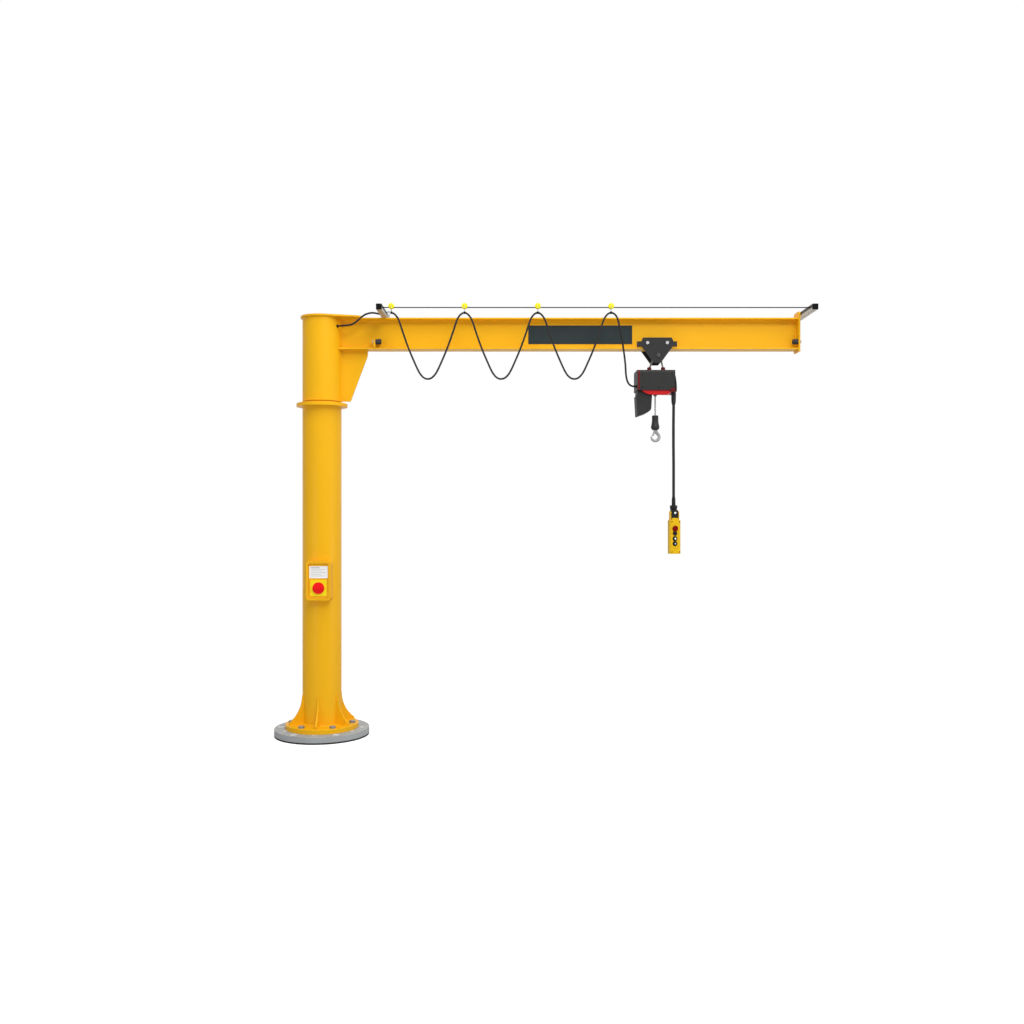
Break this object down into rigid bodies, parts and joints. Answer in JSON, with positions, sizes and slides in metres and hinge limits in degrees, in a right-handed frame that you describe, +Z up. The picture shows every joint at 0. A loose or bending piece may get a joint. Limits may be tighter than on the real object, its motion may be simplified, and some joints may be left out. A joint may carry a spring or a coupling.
{
  "type": "pillar jib crane",
  "caption": "Floor-standing pillar jib crane with a rotating I-beam arm, push trolley, electric chain hoist, hanging push-button pendant and festoon cable.",
  "frame": {"origin": "centre of the round foot's underside, on the floor under the pillar's axis", "axes": "+X along the jib, +Z up along the pillar, the switch box and the cable line face -Y"},
  "size_m": [3.7499, 0.682, 3.0075],
  "materials": {
    "seal_rubber": "matt",
    "ground_grey": "satin",
    "yellow_paint": "satin",
    "dark_steel": "satin",
    "box_yellow": "satin",
    "label_white": "matt",
    "switch_lemon": "satin",
    "knob_red": "gloss",
    "bearing_steel": "satin",
    "buffer_rubber": "matt",
    "galvanised": "satin",
    "cap_black": "satin",
    "clip_zinc": "satin",
    "wire_steel": "satin",
    "carrier_yellow": "satin",
    "sign_slate": "satin",
    "cable_black": "matt",
    "trolley_black": "satin",
    "bright_steel": "satin",
    "wheel_iron": "satin",
    "dark_red": "satin",
    "bail_steel": "satin",
    "stop_red": "gloss",
    "hoist_grey": "satin",
    "hoist_red": "gloss",
    "bag_black": "matt",
    "pendant_black": "satin",
    "pendant_yellow": "satin",
    "chain_steel": "satin",
    "block_black": "satin",
    "hook_steel": "satin"
  },
  "bodies": {
    "column": {"floor_seal": "seal_rubber", "ground_plate": "ground_grey", "foot": "yellow_paint", "column_tube": "yellow_paint", "collar": "yellow_paint", "pivot_post": "yellow_paint", "switch_box": "box_yellow", "label_panel": "label_white", "switch_plate": "switch_lemon"},
    "switch_rotor": {"switch_knob": "knob_red"},
    "jib": {"sleeve": "yellow_paint", "slew_bearings": "bearing_steel", "cap_plate": "yellow_paint", "jib_beam": "yellow_paint", "gusset_plate": "yellow_paint", "end_plate": "yellow_paint", "inner_stop": "yellow_paint", "buffers": "buffer_rubber", "arm_inner": "galvanised", "arm_outer": "galvanised", "arm_caps": "cap_black", "arm_clip": "clip_zinc", "festoon_wire": "wire_steel", "carrier_0": "carrier_yellow", "sign_panel": "sign_slate", "supply_cable": "cable_black", "loop_1": "cable_black"},
    "cable_carrier_1": {"carrier_1": "carrier_yellow", "loop_2": "cable_black"},
    "cable_carrier_2": {"carrier_2": "carrier_yellow", "loop_3": "cable_black"},
    "cable_carrier_3": {"carrier_3": "carrier_yellow"},
    "trolley": {"trolley_plate_front": "trolley_black", "trolley_plate_back": "trolley_black", "trolley_spindles": "bright_steel", "trolley_wheels": "wheel_iron", "bail_pin": "dark_steel", "bail": "bail_steel", "bail_collars": "dark_red", "hoist_housing": "hoist_grey", "hoist_cover_left": "hoist_grey", "hoist_seam": "dark_red", "hoist_cover_right": "cap_black", "hoist_underside": "hoist_red", "chain_bag": "bag_black", "control_relief": "cable_black", "control_cable": "cable_black", "pendant_neck": "pendant_black", "pendant_guard": "pendant_yellow", "pendant_body": "pendant_yellow", "load_chain": "chain_steel", "loop_4": "cable_black"},
    "stop_key": {"stop_button": "stop_red"},
    "start_key": {"key_start": "pendant_black"},
    "up_key": {"key_up": "pendant_black"},
    "down_key": {"key_down": "pendant_black"},
    "hook_block": {"hook_block": "block_black"},
    "hook": {"hook": "hook_steel"},
    "latch": {"hook_latch": "hook_steel"}
  },
  "joints": [
    {"name": "slew", "type": "hinge", "parent": "column", "child": "jib", "pos_m": [0, 0, 2.36], "axis": [0, 0, 1], "range_deg": [-135, 135]},
    {"name": "switch_turn", "type": "hinge", "parent": "column", "child": "switch_rotor", "pos_m": [0.009, -0.18, 1.051], "axis": [0, 1, 0], "range_deg": [0, 90]},
    {"name": "trolley_travel", "type": "slide", "parent": "jib", "child": "trolley", "axis": [1, 0, 0], "range_m": [-1.797, 0.813], "deforming": ["loop_4"]},
    {"name": "carrier_1_travel", "type": "slide", "parent": "jib", "child": "cable_carrier_1", "axis": [1, 0, 0], "range_m": [-0.44925, 0.20325], "deforming": ["loop_1"]},
    {"name": "carrier_2_travel", "type": "slide", "parent": "cable_carrier_1", "child": "cable_carrier_2", "axis": [1, 0, 0], "range_m": [-0.44925, 0.20325], "deforming": ["loop_2"]},
    {"name": "carrier_3_travel", "type": "slide", "parent": "cable_carrier_2", "child": "cable_carrier_3", "axis": [1, 0, 0], "range_m": [-0.44925, 0.20325], "deforming": ["loop_3"]},
    {"name": "lift", "type": "slide", "parent": "trolley", "child": "hook_block", "axis": [0, 0, 1], "range_m": [-2.03, 0.1], "deforming": ["load_chain"]},
    {"name": "hook_swivel", "type": "hinge", "parent": "hook_block", "child": "hook", "pos_m": [2.366, 0, 2.165], "axis": [0, 0, 1], "continuous": true},
    {"name": "latch_swing", "type": "hinge", "parent": "hook", "child": "latch", "pos_m": [2.362, 0, 2.15], "axis": [0, -1, 0], "range_deg": [0, 40], "stiffness_Nm_per_rad": 0.02, "springref_deg": -28.65},
    {"name": "stop_press", "type": "slide", "parent": "trolley", "child": "stop_key", "axis": [-0.2079, 0.9781, 0], "range_m": [0, 0.006]},
    {"name": "start_press", "type": "slide", "parent": "trolley", "child": "start_key", "axis": [-0.2079, 0.9781, 0], "range_m": [0, 0.004], "stiffness_N_per_m": 800, "springref_m": -0.002},
    {"name": "up_press", "type": "slide", "parent": "trolley", "child": "up_key", "axis": [-0.2079, 0.9781, 0], "range_m": [0, 0.004], "stiffness_N_per_m": 800, "springref_m": -0.002},
    {"name": "down_press", "type": "slide", "parent": "trolley", "child": "down_key", "axis": [-0.2079, 0.9781, 0], "range_m": [0, 0.004], "stiffness_N_per_m": 800, "springref_m": -0.002}
  ],
  "couplings": [
    {"joint": "carrier_1_travel", "follows": "trolley_travel", "ratio": 0.25},
    {"joint": "carrier_2_travel", "follows": "trolley_travel", "ratio": 0.25},
    {"joint": "carrier_3_travel", "follows": "trolley_travel", "ratio": 0.25}
  ]
}
